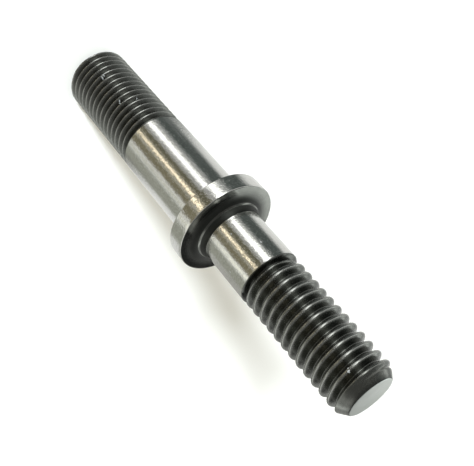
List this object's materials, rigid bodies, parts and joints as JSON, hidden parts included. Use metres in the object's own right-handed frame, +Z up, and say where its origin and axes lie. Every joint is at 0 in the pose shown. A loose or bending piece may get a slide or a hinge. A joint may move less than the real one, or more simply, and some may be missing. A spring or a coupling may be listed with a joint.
{
  "type": "rocker stud",
  "caption": "Turned steel stud with a solid round collar: fine thread and long ground shank below it, short ground shank and coarse thread above.",
  "frame": {"origin": "centre of the fine thread's end face, which it stands on", "axes": "+Z up along the stud's axis, from the fine thread to the coarse thread; +X and +Y are free, because the stud is round"},
  "size_m": [0.016, 0.016, 0.073],
  "materials": {
    "steel": "ground bright on the shanks and the collar's rim, black oxide on both threads and the collar's seat"
  },
  "bodies": {
    "root": {"rocker_stud": "steel"}
  },
  "joints": []
}
